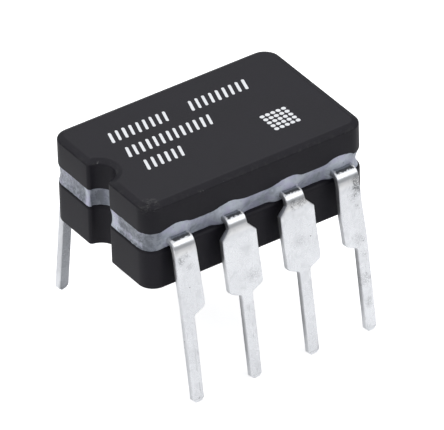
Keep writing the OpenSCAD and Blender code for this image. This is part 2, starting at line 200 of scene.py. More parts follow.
class Wall:
    """Places round the wall, against the clock from the notch's middle at -X. Each place is an anchor,
    an outward direction and a radius, so that inset moves all of them at right angles to the wall."""

    def __init__(self, step, arc_steps):
        self.lip_y = math.sqrt((NOTCH_RADIUS + LIP_RADIUS) ** 2 - LIP_RADIUS ** 2)
        self.lip_angle = math.atan2(self.lip_y, LIP_RADIUS)
        x, y = HALF_LENGTH - CORNER_RADIUS, HALF_WIDTH - CORNER_RADIUS
        rows = self.notch(0, -self.lip_angle, arc_steps)
        rows += self.lip(-1, arc_steps // 2)
        rows += self.straight((-HALF_LENGTH, -self.lip_y), (-HALF_LENGTH, -y), (-1, 0), step)
        rows += self.corner(-1, -1, 180, arc_steps)
        rows += self.straight((-x, -HALF_WIDTH), (x, -HALF_WIDTH), (0, -1), step)
        rows += self.corner(1, -1, 270, arc_steps)
        rows += self.straight((HALF_LENGTH, -y), (HALF_LENGTH, y), (1, 0), step)
        rows += self.corner(1, 1, 0, arc_steps)
        rows += self.straight((x, HALF_WIDTH), (-x, HALF_WIDTH), (0, 1), step)
        rows += self.corner(-1, 1, 90, arc_steps)
        rows += self.straight((-HALF_LENGTH, y), (-HALF_LENGTH, self.lip_y), (-1, 0), step)
        rows += self.lip(1, arc_steps // 2)
        rows += self.notch(self.lip_angle, 0, arc_steps)[:-1]
        keep = [rows[0]]
        for row in rows[1:]:
            if row[0] != keep[-1][0] or math.dist(self.place(row), self.place(keep[-1])) > SAME_PLACE:
                keep.append(row)
        self.kind = np.array([r[0] for r in keep])
        self.anchor = np.array([r[1] for r in keep], float)
        self.out = np.array([r[2] for r in keep], float)
        self.radius = np.array([r[3] for r in keep], float)

    @staticmethod
    def place(row):
        return (row[1][0] + row[2][0] * row[3], row[1][1] + row[2][1] * row[3])

    @staticmethod
    def straight(a, b, out, step):
        n = max(1, round(math.dist(a, b) / step))
        return [("wall", [p + (q - p) * i / n for p, q in zip(a, b)], out, 0) for i in range(n + 1)]

    @staticmethod
    def corner(cx, cy, start, steps):
        middle = (cx * (HALF_LENGTH - CORNER_RADIUS), cy * (HALF_WIDTH - CORNER_RADIUS))
        angles = [math.radians(start + 90 * k / steps) for k in range(steps + 1)]
        return [("wall", middle, (math.cos(a), math.sin(a)), CORNER_RADIUS) for a in angles]

    @staticmethod
    def notch(start, end, steps):
        angles = [start + (end - start) * k / steps for k in range(steps + 1)]
        return [("notch", (-HALF_LENGTH, 0), (-math.cos(a), -math.sin(a)), -NOTCH_RADIUS) for a in angles]

    def lip(self, side, steps):
        middle = (LIP_RADIUS - HALF_LENGTH, side * self.lip_y)
        start, end = (-self.lip_angle, 0) if side < 0 else (0, self.lip_angle)
        angles = [start + (end - start) * k / steps for k in range(steps + 1)]
        return [("lip", middle, (-math.cos(a), -math.sin(a)), LIP_RADIUS) for a in angles]

    def points(self, inset):
        """The plan at an inset, which is one number or one for each place. Past the lip's radius, the
        lip and what it would cross meet at one point."""
        inset = np.broadcast_to(np.asarray(inset, float), self.radius.shape)
        p = self.anchor + self.out * (self.radius - inset)[:, None]
        for i in np.nonzero(inset > LIP_RADIUS)[0]:
            d = inset[i]
            mitre = math.sqrt((NOTCH_RADIUS + d) ** 2 - d ** 2)
            side = math.copysign(1, p[i, 1])
            on_end = self.kind[i] == "wall" and self.out[i, 0] < -0.999 and abs(p[i, 1]) < mitre
            angle = math.atan2(abs(p[i, 1]), p[i, 0] + HALF_LENGTH)
            in_notch = self.kind[i] == "notch" and angle > math.atan2(mitre, d)
            if self.kind[i] == "lip" or on_end or in_notch:
                p[i] = (-HALF_LENGTH + d, side * mitre)
        return p

    def ring(self, inset, z):
        z = np.broadcast_to(np.asarray(z, float), self.radius.shape)
        return np.column_stack([self.points(inset), z])


# Shader graphs written as expressions

class Value:
    """A socket of a shader graph. Arithmetic on it adds Math nodes."""

    def __init__(self, graph, socket):
        self.graph, self.socket = graph, socket

    def math(self, operation, *others):
        inputs = {i: v for i, v in enumerate((self,) + others)}
        return self.graph.node("ShaderNodeMath", {"operation": operation}, inputs)

    def reflected(self, operation, other):
        return self.graph.node("ShaderNodeMath", {"operation": operation}, {0: other, 1: self})

    def __add__(self, other):
        return self.math("ADD", other)

    def __radd__(self, other):
        return self.reflected("ADD", other)

    def __sub__(self, other):
        return self.math("SUBTRACT", other)

    def __rsub__(self, other):
        return self.reflected("SUBTRACT", other)

    def __mul__(self, other):
        return self.math("MULTIPLY", other)

    def __rmul__(self, other):
        return self.reflected("MULTIPLY", other)

    def __truediv__(self, other):
        return self.math("DIVIDE", other)

    def __rtruediv__(self, other):
        return self.reflected("DIVIDE", other)

    def clamped(self):
        return self.graph.node("ShaderNodeClamp", {}, {0: self})

    def fade(self, low, high):
        """0 below low, 1 above high, and a smooth step between. High may be the lower one."""
        return self.graph.node("ShaderNodeMapRange", {"interpolation_type": "SMOOTHSTEP"},
                               {"Value": self, "From Min": low, "From Max": high})

    def band(self, bottom, low, high, top):
        """1 from low to high, with a smooth step to 0 at bottom and at top."""
        return self.fade(bottom, low) * self.fade(top, high)


class Graph:
    """The node tree of a material or of the world."""

    def __init__(self, tree):
        tree.nodes.clear()
        self.tree = tree

    def node(self, kind, settings=None, inputs=None, output=0):
        """Adds a node: its settings are set first, then its sockets take values or links."""
        made = self.tree.nodes.new(kind)
        for name, value in (settings or {}).items():
            setattr(made, name, value)
        for name, value in (inputs or {}).items():
            if isinstance(value, Value):
                self.tree.links.new(value.socket, made.inputs[name])
            else:
                made.inputs[name].default_value = value
        return Value(self, made.outputs[output]) if made.outputs else None

    def place(self):
        """The point on the piece, in millimetres."""
        here = self.node("ShaderNodeTexCoord", output="Object")
        return self.node("ShaderNodeVectorMath", {"operation": "SCALE"}, {0: here, "Scale": 1 / MM})

    def axis(self, place, name):
        """One coordinate of a point: X, Y or Z."""
        return self.node("ShaderNodeSeparateXYZ", {}, {0: place}, name)

    def reach(self, place, goal):
        """Distance from a point to another."""
        return self.node("ShaderNodeVectorMath", {"operation": "DISTANCE"}, {0: place, 1: goal}, "Value")

    def stretched(self, place, factors, shift=(0, 0, 0)):
        """A point whose coordinates are multiplied by factors and then shifted."""
        scaled = self.node("ShaderNodeVectorMath", {"operation": "MULTIPLY"}, {0: place, 1: factors})
        return self.node("ShaderNodeVectorMath", {"operation": "ADD"}, {0: scaled, 1: shift})

    def noise(self, place, size, detail=2.0, roughness=0.5, distortion=0.0):
        """Noise of about 0 to 1, with patches size across, in millimetres."""
        return self.node("ShaderNodeTexNoise", {"noise_dimensions": "3D"}, {
            "Vector": place, "Scale": 1 / size, "Detail": detail, "Roughness": roughness,
            "Distortion": distortion})

    def cells(self, place, size):
        """Distance to the nearest of points scattered about size apart."""
        return self.node("ShaderNodeTexVoronoi", {"voronoi_dimensions": "3D"},
                         {"Vector": place, "Scale": 1 / size}, "Distance")

    def mark(self, name):
        """A number that the mesh code left on the vertices."""
        return self.node("ShaderNodeAttribute", {"attribute_name": name}, output="Fac")

    def mix(self, factor, a, b):
        """Colour a where the factor is 0, and colour b where it is 1. Inputs 6 and 7 and output 2 of a
        Mix node are its colours."""
        return self.node("ShaderNodeMix", {"data_type": "RGBA"}, {0: factor, 6: a, 7: b}, 2)

    def bump(self, height, depth):
        """Normal of a relief whose height runs from 0 to 1 over a depth in millimetres."""
        return self.node("ShaderNodeBump", {}, {"Strength": 1.0, "Distance": depth * MM, "Height": height})


# Finishes: colours, and places in millimetres

DEEP_BLACK = (0.0054, 0.0047, 0.0084, 1)
SOFT_BLACK = (0.0080, 0.0070, 0.0116, 1)
GRAIN_BLACK = (0.0160, 0.0145, 0.0200, 1)
GLASS_VIOLET = (0.38, 0.37, 0.53, 1)
HIGHLIGHT_VIOLET = (0.61, 0.60, 0.76, 1)
DARK_SILICON = (0.10, 0.09, 0.16, 1)
PALE_SILICON = (0.20, 0.19, 0.24, 1)
DARK_GOLD = (0.62, 0.44, 0.16, 1)
PALE_GOLD = (0.82, 0.62, 0.28, 1)

# The lid's corner by the notch, where handling scuffed it
WORN_CORNER = (0.375 - HALF_LENGTH, 0.305 - HALF_WIDTH, LID_TOP - 0.05)

# How far from the body's middle the glass wets a lead, and how far the painted reflection of the dark lid
# reaches on it
GLASS_FILM = HALF_WIDTH + 0.13
LID_REFLECTION_REACH = HALF_WIDTH + 0.31


def heights(base, *steps):
    """Heights that lie these steps above a base height."""
    return tuple(base + step for step in steps)


# Heights on a lead where a look starts and where it is full. Among them is painted light: the dark lid's
# reflection over the bend, the bend's highlight darkened in colour, shade on the cut sides and a brighter
# tip
LID_REFLECTION_RISE = heights(BEND_Z, 0, 0.10)
DIMMED_HIGHLIGHT = heights(BEND_Z, 0.18, 0.26)
ROUGH_NECK = heights(BEND_Z, -0.50, -0.20)
SHADED_SIDES = heights(BASE_BOTTOM, 0.06, 0.76)
METAL_SIDES = heights(PIN_LENGTH, -0.18, 0.32)
STREAKED_PIN = heights(PIN_LENGTH, 0.22, -0.28)
LIT_TIP = (2.6, 0.2)

# Heights on a lead of a band: its bottom, where it is full from and to, and its top. All three are painted
# light: a bright band where the bend meets the neck, a dark reflected band in the bend, and shade on the
# pins' cut sides
LIT_NECK_BAND = heights(BEND_Z, -0.30, -0.10, 0, 0.06)
DARK_REFLECTION_BAND = heights(BEND_Z, 0.02, 0.10, 0.13, 0.20)
SHADED_PIN_SIDES = (0.2, 1.6) + heights(PIN_LENGTH, -0.18, 0.12)

# Heights between which the die's face ends and its pads start
PAD_FOOT = heights(PAD_TOP, -0.009, -0.007)

# Dull stains on the leads: place, size, depth
STAINS = [
    ((-3.72, -3.66, 5.85), 0.34, 0.60), ((-3.45, -3.70, 5.55), 0.26, 0.40),
    ((-0.85, -3.92, 4.15), 0.38, 0.24), ((1.25, -3.85, 4.75), 0.42, 0.22),
    ((1.22, -3.64, 6.30), 0.22, 0.60), ((3.95, -3.62, 6.00), 0.46, 0.65),
    ((3.75, -3.70, 5.50), 0.28, 0.30), ((3.80, -3.95, 3.90), 0.36, 0.35),
    ((3.95, -4.05, 3.20), 0.28, 0.40), ((3.85, -4.20, 2.20), 0.34, 0.35),
    ((3.90, -4.30, 1.20), 0.26, 0.30), ((-3.66, -4.46, 0.20), 0.07, 0.90),
    ((3.98, -3.60, 6.05), 0.30, 0.80), ((3.85, -3.78, 5.20), 0.20, 0.60),
    ((1.55, -3.64, 6.27), 0.22, 0.60),
]


def grey(level, blue=0.0):
    """A grey of that level, cooler with more blue."""
    return (level * (1 - blue), level * (1 - blue / 3), level * (1 + blue), 1.0)


def finish(name, inputs):
    """A material whose surface takes these inputs, given by a function of its graph."""
    material = bpy.data.materials.new(name)
    material.use_nodes = True
    graph = Graph(material.node_tree)
    surface = graph.node("ShaderNodeBsdfPrincipled", {}, inputs(graph))
    graph.node("ShaderNodeOutputMaterial", {}, {"Surface": surface})
    return material


def black_ceramic(g):
    """Matt pressed ceramic, with worn edges, a few nicks and a scuffed corner."""
    here = g.place()
    cloud = g.noise(here, 1.6, 3, 0.55)
    grain = g.noise(here, 0.035, 2, 0.6)
    pores = g.cells(here, 0.16).fade(0.16, 0.05) * g.noise(here, 0.5).fade(0.5, 0.62)
    edge = g.mark("edge")
    worn = edge * g.noise(here, 0.22, 3, 0.6).fade(0.46, 0.66)
    nick = edge * g.noise(here, 0.16, 4, 0.75, 0.6).fade(0.66, 0.71)
    scratches = g.noise(g.stretched(here, (1, 1, 4)), 0.14, 3, 0.7, 0.8)
    scuff = g.reach(here, WORN_CORNER).fade(0.50, 0.15) * scratches.fade(0.52, 0.60)
    body = g.mix(cloud.fade(0.3, 0.7), DEEP_BLACK, SOFT_BLACK)
    body = g.mix(grain.fade(0.35, 0.75) * 0.5, body, GRAIN_BLACK)
    body = g.mix(worn * 0.45, body, grey(0.034))
    body = g.mix(scuff * 0.8, body, grey(0.06))
    body = g.mix(nick, body, grey(0.18))
    relief = grain * 0.7 + cloud * 0.3 - pores * 0.8
    return {
        "Base Color": body,
        "Roughness": 0.42 + cloud * 0.06 + grain * 0.10,
        "Specular IOR Level": 0.22,
        "Normal": g.bump(relief, 0.004),
    }


def sealing_glass(g):
    """Grey-blue glass, with painted highlights on its collars, lips and rim, and painted shade and speckle
    at the notch's end.
    """
    here = g.place()
    patch = g.noise(here, 0.50, 4, 0.6, 0.4)
    fleck = g.noise(here, 0.13, 3, 0.65, 0.5)
    fine = g.noise(here, 0.07, 3, 0.65)
    tint = g.noise(g.stretched(here, (1, 1, 1), (7, 3, 5)), 0.42, 2).fade(0.42, 0.60)
    pits = g.noise(here, 0.085, 3, 0.8).fade(0.63, 0.70)
    coarse = g.mark("coarse")
    glass_highlight = (g.mark("glass_highlight") + (fleck - 0.5) * coarse * 1.6).clamped()
    end_shade = g.mark("end_shade")
    body = g.mix(patch.fade(0.36, 0.66), grey(0.36, 0.13), grey(0.52, 0.10))
    body = g.mix(fleck.fade(0.50, 0.68) * 0.45, body, grey(0.60, 0.09))
    body = g.mix(fleck.fade(0.46, 0.30) * 0.35, body, grey(0.19, 0.14))
    body = g.mix(tint * 0.40, body, GLASS_VIOLET)
    # Painted shade over the notch's end, mottled
    shaded = g.mix((patch * 0.6 + fleck * 0.4).fade(0.42, 0.58), grey(0.14, 0.13), grey(0.26, 0.11))
    body = g.mix(end_shade * 0.85, body, shaded)
    # Painted highlights on the collars, lips and rim, tinted
    body = g.mix(glass_highlight, body, g.mix(tint, grey(0.70, 0.09), HIGHLIGHT_VIOLET))
    body = g.mix(coarse * fine.fade(0.44, 0.36) * 0.6, body, grey(0.09, 0.10))
    body = g.mix(pits * 0.55, body, grey(0.10, 0.08))
    relief = patch * 0.5 + fleck * 0.35 + fine * 0.15 - pits * 0.5
    return {
        "Base Color": body,
        "Roughness": 0.30 + fleck * 0.25,
        "Specular IOR Level": 0.5,
        "Normal": g.bump(relief, 0.03),
    }


def tinned(g):
    """Tin with stains and specks, dull and painted with shade on its cut sides and inner faces, with
    painted light and reflections round the bend and a brighter tip, and a painted reflection of the dark
    lid on the arm by the glass, greyer where the glass wets it.
    """
    here = g.place()
    cloud = g.noise(here, 1.0, 2, 0.5)
    blotch = g.noise(here, 0.42, 3, 0.6, 0.8)
    fine = g.noise(here, 0.05, 3, 0.7)
    streaks = g.noise(g.stretched(here, (9, 9, 1.2)), 1.0, 3, 0.6)
    specks = g.cells(here, 0.36).fade(0.09, 0.05) * g.noise(here, 0.9, 2).fade(0.56, 0.62)
    edge = g.mark("edge")
    out = g.axis(here, "Y").math("ABSOLUTE")
    height = g.axis(here, "Z")
    ragged = g.noise(here, 0.11, 3, 0.65)
    inside = (g.mark("inside") + (ragged - 0.5) * 1.6).fade(0.35, 0.65)
    # Painted reflection of the dark lid on the arm and the top of the bend, kept off the cut sides; it is
    # also rougher and less metallic there
    lid_reflection = (LID_REFLECTION_REACH + ragged * 0.20 - 0.10 - out).fade(-0.02, 0.02) * inside * height.fade(*LID_REFLECTION_RISE)
    film = (GLASS_FILM + ragged * 0.10 - out).fade(-0.03, 0.03)
    dull = blotch.fade(0.48, 0.72)
    streaked = streaks.fade(0.56, 0.72) * (height.fade(*STREAKED_PIN) * 0.35 + 0.12)
    body = g.mix(cloud.fade(0.3, 0.7), grey(0.83, 0.022), grey(0.90, 0.02))
    # Painted light and reflection: a brighter tip, a bright band where the bend meets the neck, a dark
    # reflected band in the bend, and the bend's highlight darkened in colour
    body = g.mix(height.fade(*LIT_TIP) * 0.9, body, grey(0.97, 0.02))
    body = g.mix(height.band(*LIT_NECK_BAND) * 0.9, body, grey(1.0))
    body = g.mix(height.band(*DARK_REFLECTION_BAND) * 0.45, body, grey(0.40, 0.03))
    body = g.mix(height.fade(*DIMMED_HIGHLIGHT) * 0.6, body, grey(0.60, 0.02))
    body = g.mix(dull * 0.30, body, grey(0.66, 0.02))
    body = g.mix(streaked, body, grey(0.48, 0.02))
    body = g.mix(edge * fine.fade(0.45, 0.6) * 0.20, body, grey(0.50, 0.03))
    # Painted shade on the inner faces, which mirror the shadow under the body
    body = g.mix(g.mark("inner") * 0.8, body, grey(0.32, 0.07))
    # Painted shade on the cut sides, on the pins and darker up the leg
    body = g.mix(edge * height.band(*SHADED_PIN_SIDES) * 0.85, body, grey(0.26, 0.04))
    body = g.mix(edge * height.fade(*SHADED_SIDES) * 0.88, body, grey(0.09, 0.04))
    body = g.mix(specks * 0.7, body, grey(0.16, 0.03))
    for place, size, depth in STAINS:
        spot = (g.reach(here, place) / size + (blotch - 0.5) * 2.6).fade(1.0, 0.25)
        body = g.mix(spot * fine.fade(0.38, 0.58) * depth, body, grey(0.14, 0.03))
    # Colour of the lid's painted reflection, greyer where a film of glass wets the lead
    strip = g.mix(fine, grey(0.03, 0.10), grey(0.10, 0.10))
    body = g.mix(lid_reflection, body, g.mix(film * 0.8, strip, grey(0.26, 0.12)))
    rough = dull * 0.06 + streaks * 0.04 + edge * 0.08 + lid_reflection * 0.20 + height.fade(*ROUGH_NECK) * 0.10
    relief = cloud * 0.6 + blotch * 0.2 + streaks * 0.2 - specks * 0.3 - lid_reflection * 0.3
    return {
        "Base Color": body,
        "Metallic": 1.0 - lid_reflection * 0.6 - edge * height.fade(*METAL_SIDES) * 0.3,
        "Roughness": 0.25 + rough,
        "Normal": g.bump(relief, 0.008),
    }


def white_ink(g):
    """Printed ink, a little thin in places."""
    here = g.place()
    fine = g.noise(here, 0.05, 3, 0.7)
    thin = g.noise(here, 0.12, 3, 0.7).fade(0.60, 0.72)
    return {
        "Base Color": g.mix(thin * 0.35, grey(0.80, 0.02), grey(0.50, 0.03)),
        "Roughness": 0.55 + fine * 0.1,
        "Normal": g.bump(fine, 0.002),
    }


def silicon(g):
    """The die's patterned face, and its bright pads."""
    here = g.place()
    lines = g.noise(g.stretched(here, (14, 1.2, 1)), 1.0, 1).fade(0.45, 0.55)
    blocks = g.cells(here, 0.22).fade(0.3, 0.5)
    pads = g.axis(here, "Z").fade(*PAD_FOOT)
    body = g.mix(lines * 0.5 + blocks * 0.3, DARK_SILICON, PALE_SILICON)
    return {
        "Base Color": g.mix(pads, body, grey(0.75)),
        "Metallic": pads,
        "Roughness": 0.16 + lines * 0.1,
    }


def gold_attach(g):
    grain = g.noise(g.place(), 0.04, 3, 0.6)
    return {
        "Base Color": g.mix(grain, DARK_GOLD, PALE_GOLD),
        "Metallic": 1.0,
        "Roughness": 0.32 + grain * 0.15,
        "Normal": g.bump(grain, 0.003),
    }


def drawn_wire(g):
    grain = g.noise(g.place(), 0.02, 2)
    return {
        "Base Color": g.mix(grain, grey(0.62), grey(0.78)),
        "Metallic": 1.0,
        "Roughness": 0.24 + grain * 0.12,
    }


def dress(piece, material):
    piece.data.materials.clear()
    piece.data.materials.append(material)


def leave_mark(mesh, name, values):
    """Leaves a number on each vertex for a material to read."""
    layer = mesh.attributes.new(name, "FLOAT", "POINT")
    layer.data.foreach_set("value", np.asarray(values, np.float32))


def vertex_points(mesh):
    points = np.zeros(len(mesh.vertices) * 3, np.float32)
    mesh.vertices.foreach_get("co", points)
    return points.reshape(-1, 3) / MM


# Ceramic base and lid

# How far the flat faces go on past their rounded edges, and how wide the bevel's edge is worn
FACE_MARGIN = 0.09
SEAL_MARGIN = 0.05
WORN_WIDTH = 0.05


def block_profile(thickness):
    """Inset and height from the outer face, from the face out to the wall and on to the seal."""
    return rounded_path([
        (BEVEL_WIDTH + FACE_MARGIN, 0, 0),
        (BEVEL_WIDTH, 0, FACE_ROUND),
        (0, BEVEL_HEIGHT, WALL_ROUND),
        (0, thickness, SEAL_EDGE),
        (SEAL_EDGE + SEAL_MARGIN, thickness, 0),
    ])


def ceramic_block(name, node, outer_z, seal_z, cavity, depth):
    """Base or lid: its outline swept from the outer face to the seal, where its cavity opens."""
    way = 1 if seal_z > outer_z else -1
    wall = Wall(step=0.35, arc_steps=16)
    bm = bmesh.new()
    rings = [add_ring(bm, wall.ring(inset, outer_z + way * height))
             for inset, height in block_profile(abs(seal_z - outer_z))]
    for a, b in zip(rings, rings[1:]):
        skin(bm, a, b)
    bm.faces.new(rings[0])
    mouth = add_ring(bm, cavity_outline(cavity, seal_z))
    floor_ring = add_ring(bm, cavity_outline(cavity, seal_z - way * depth))
    flat_ring(bm, rings[-1], mouth)
    skin(bm, mouth, floor_ring)
    bm.faces.new(floor_ring)
    piece = mesh_object(name, bm)
    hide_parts(node)
    depths = np.abs(vertex_points(piece.data)[:, 2] - outer_z)
    leave_mark(piece.data, "edge", smooth(1 - np.abs(depths - BEVEL_HEIGHT) / WORN_WIDTH))
    return piece


# Leads: a flat strip outline, given a thickness and folded over the bend

LAST_COLUMN = 3

# The bend is tight over the arm, and its last degrees ease off above the leg
TIGHT_RADIUS = BEND_RADIUS + STRIP / 2
TIGHT_TURN = math.radians(65)
EASE_RADIUS = 1.2
LEG_TURN = math.pi / 2 - SPLAY
BEND_END = BEND_Y + LEG_TURN * TIGHT_RADIUS

# Steps along the strip: short ones round the bend and just past it, and longer ones elsewhere
BEND_STEP = 0.018
FLAT_STEP = 0.10
PAST_BEND = 0.30

# The strip's rounded edges, and how many steps go round an edge and across a face
EDGE_ROUND = 0.035
ARC_STEPS = 4
FACE_STEPS = 6

# The cut sides' mark, which carries their wear and their painted shade: what the end leads' outer sides
# keep of it, and what it loses across the strip
OUTER_SHADE = 0.25
CUT_FADE = 0.8

# How each lead was bent by handling: twist in degrees, shift along the row, shift outward, lost length
HANDLING = {
    1: (0, 0.045, 0.000, 0),
    2: (0, 0.050, 0.000, 0),
    3: (0, 0.040, 0.025, 0),
    4: (0, 0.045, 0.045, 0),
    5: (-3, 0.030, -0.010, 0.02),
    6: (2, -0.025, 0.010, 0),
    7: (-2, 0.020, -0.030, 0.01),
    8: (12, -0.045, 0.015, 0.11),
}

# The height below which a lead is bent aside, the height over which that grows, and the worn tip's height
BENT_BELOW = BEND_Z - 0.80
BENT_OVER = 1.8
WORN_TIP = 2.6


def lead_column(n):
    """Column 0 to 3 of lead 1 to 8, from the notch's end."""
    return n - 1 if n <= 4 else 8 - n


def column_x(k):
    """X of a pin's middle, before the frame's shift."""
    return LEAD_PITCH * (k - LAST_COLUMN / 2)


def is_end(k):
    return k in (0, LAST_COLUMN)


def is_outer(k, side):
    """Whether this is the straight outer side of an end lead. Side is -1 or 1."""
    return (k == 0 and side < 0) or (k == LAST_COLUMN and side > 0)


def neck_edge(k, side):
    """Distance from the pin's middle to the neck's edge."""
    if is_outer(k, side):
        return PIN_WIDTH / 2
    return END_NECK_WIDTH - PIN_WIDTH / 2 if is_end(k) else NECK_WIDTH / 2


def neck_x(k):
    """X of a neck's middle, before the frame's shift."""
    return column_x(k) + (neck_edge(k, 1) - neck_edge(k, -1)) / 2


def leg_side(k, side):
    """Outline of one side of the leg: distance from the pin's middle, and from the end of the bend."""
    pin, shoulder, neck = PIN_WIDTH / 2, SHOULDER_WIDTH / 2, neck_edge(k, side)
    taper = (LEG_TOP - PIN_LENGTH) / 2 if is_end(k) else shoulder - neck

    def drop(z):
        return (LEG_TOP - z) / math.cos(SPLAY)

    corners = [(neck, 0, 0)]
    if not is_outer(k, side):
        corners += [
            (neck, NECK_DROP / math.cos(SPLAY), NECK_FILLET),
            (shoulder, drop(LEG_TOP - NECK_DROP - taper), PIN_FILLET),
            (shoulder, drop(PIN_LENGTH + SHOULDER_RISE), SHOULDER_RADIUS),
            (pin, drop(PIN_LENGTH), PIN_FILLET),
        ]
    corners += [(pin, drop(TIP_CHAMFER), TIP_ROUND), (pin - TIP_CHAMFER, drop(0), 0)]
    return rounded_path(corners, steps=6)


def finger_keys(k):
    """Pairs of corners of the finger and the arm, from the fingertip to the start of the bend."""
    x = column_x(k)
    low, high = x - neck_edge(k, -1), x + neck_edge(k, 1)
    root = HALF_WIDTH - FINGER_ROOT
    half = FINGER_TIP / 2
    if is_end(k):
        inward = -math.copysign(1, x)
        inner, outer = (high, low) if inward > 0 else (low, high)
        tip = -inward * (DIE_CAVITY[0] / 2 + FINGER_SETBACK)
        a = [(tip, END_TIP_OFFSET - half), (inner, END_TIP_OFFSET - half), (outer, root), (outer, BEND_Y)]
        b = [(tip, END_TIP_OFFSET + half), (inner + inward * FINGER_ROOT, END_TIP_OFFSET + half),
             (inner, root - FINGER_ROOT), (inner, BEND_Y)]
        return list(zip(a, b)) if inward > 0 else list(zip(b, a))
    tip = math.copysign(MIDDLE_TIP_SPACING / 2, x)
    tip_y = DIE_CAVITY[1] / 2 + FINGER_SETBACK
    return [((tip - half, tip_y), (tip + half, tip_y)), ((low, root), (high, root)),
            ((low, BEND_Y), (high, BEND_Y))]


def leg_keys(k):
    """Pairs of corners of the leg and the pin, from the end of the bend to the pin's tip."""
    x = column_x(k)
    left, right = leg_side(k, -1), leg_side(k, 1)
    keys = [((x - neck_edge(k, -1), BEND_END), (x + neck_edge(k, 1), BEND_END))]
    drops = sorted({round(float(d), 5) for d in np.concatenate([left[:, 1], right[:, 1]])} - {0.0})
    for d in drops:
        keys.append(((x - np.interp(d, left[:, 1], left[:, 0]), BEND_END + d),
                     (x + np.interp(d, right[:, 1], right[:, 0]), BEND_END + d)))
    return keys


def strip_pairs(k):
    """Pairs of points along the strip's low-X and high-X sides, from the fingertip to the pin's tip.
    The second number is the distance from the body's middle, measured along the strip."""
    keys = [np.array(pair, float) for pair in finger_keys(k) + leg_keys(k)]
    pairs = keys[:1]
    for pair in keys[1:]:
        start = pairs[-1]
        in_bend = BEND_Y - SAME_PLACE <= start[0, 1] < BEND_END + PAST_BEND
        step = BEND_STEP if in_bend else FLAT_STEP
        count = max(1, math.ceil(np.abs(pair - start).max() / step))
        pairs += [start + (pair - start) * i / count for i in range(1, count + 1)]
    return np.array(pairs)


def folded(x, along, height):
    """Folds points of the flat strip over the bend. Height is measured from its lower or inner face."""
    past = np.clip(along - BEND_Y, 0, None)
    tight = np.clip(past / TIGHT_RADIUS, 0, TIGHT_TURN)
    ease = np.clip((past - TIGHT_RADIUS * TIGHT_TURN) / EASE_RADIUS, 0, LEG_TURN - TIGHT_TURN)
    drop = np.clip(past - TIGHT_RADIUS * TIGHT_TURN - EASE_RADIUS * (LEG_TURN - TIGHT_TURN), 0, None)
    turn = tight + ease
    y = np.minimum(along, BEND_Y) + TIGHT_RADIUS * np.sin(tight) + drop * math.sin(SPLAY)
    z = BEND_Z + TIGHT_RADIUS * np.cos(tight) - drop * math.cos(SPLAY)
    y = y + EASE_RADIUS * (np.sin(turn) - np.sin(tight)) + np.sin(turn) * (height - STRIP / 2)
    z = z + EASE_RADIUS * (np.cos(turn) - np.cos(tight)) + np.cos(turn) * (height - STRIP / 2)
    return np.column_stack([x, y, z])


def handled(points, n):
    """The small bend, twist and wear that handling gave a lead, full at its pin."""
    twist, aside, away, lift = HANDLING[n]
    pin_x = column_x(lead_column(n))
    x, y, z = points.T
    low = smooth((BENT_BELOW - z) / BENT_OVER)
    turn = math.radians(twist) * low
    middle = BEND_Y + (LEG_TOP - z) * math.tan(SPLAY) + STRIP / 2
    along, out = x - pin_x, y - middle
    return np.column_stack([
        pin_x + aside * low + along * np.cos(turn) - out * np.sin(turn),
        middle + away * low + along * np.sin(turn) + out * np.cos(turn),
        z + lift * smooth((WORN_TIP - z) / WORN_TIP),
    ])


def side_normals(line, towards):
    """Normals of a line in the plane, on the side that the points of another line lie."""
    run = np.gradient(line, axis=0)
    normal = np.column_stack([-run[:, 1], run[:, 0]])
    length = np.linalg.norm(normal, axis=1, keepdims=True)
    normal = normal / np.maximum(length, SAME_PLACE)
    facing = np.sign(np.sum((towards - line) * normal, axis=1, keepdims=True))
    return normal * np.where(facing == 0, 1, facing)


def edge_profile(face, back):
    """Inset and height round a cut side, from one face of the strip to the other."""
    turns = [math.pi / 2 * i / ARC_STEPS for i in range(1, ARC_STEPS + 1)]

    def corner(start, turns):
        deeper = EDGE_ROUND if start < STRIP / 2 else -EDGE_ROUND
        return [(EDGE_ROUND * (1 - math.sin(t)), start + deeper * (1 - math.cos(t))) for t in turns]

    return corner(face, turns) + corner(back, turns[::-1])


def strip_lines(k):
    """Lines that run along the strip, in their order round its section. Each has its points, its height
    and its marks: how much of a cut edge it is, whether it lies inside a face, and on the inner face."""
    pairs = strip_pairs(k)
    left, right = pairs[:, 0], pairs[:, 1]
    from_left, from_right = side_normals(left, right), side_normals(right, left)
    lines = []
    for side, face, first, first_in, last, last_in in ((1, STRIP, left, from_left, right, from_right),
                                                       (-1, 0.0, right, from_right, left, from_left)):
        a = first + first_in * EDGE_ROUND
        b = last + last_in * EDGE_ROUND
        for i in range(FACE_STEPS + 1):
            inside = 0.0 if i in (0, FACE_STEPS) else 1.0
            lines.append((a + (b - a) * i / FACE_STEPS, face, (0.0, inside, 1.0 if face == 0 else 0.0)))
        shade = OUTER_SHADE if is_outer(k, side) else 1.0
        for inset, height in edge_profile(face, STRIP - face):
            cut = shade * (1 - CUT_FADE * height / STRIP)
            lines.append((last + last_in * inset, height, (cut, 0.0, 0.0)))
    return lines


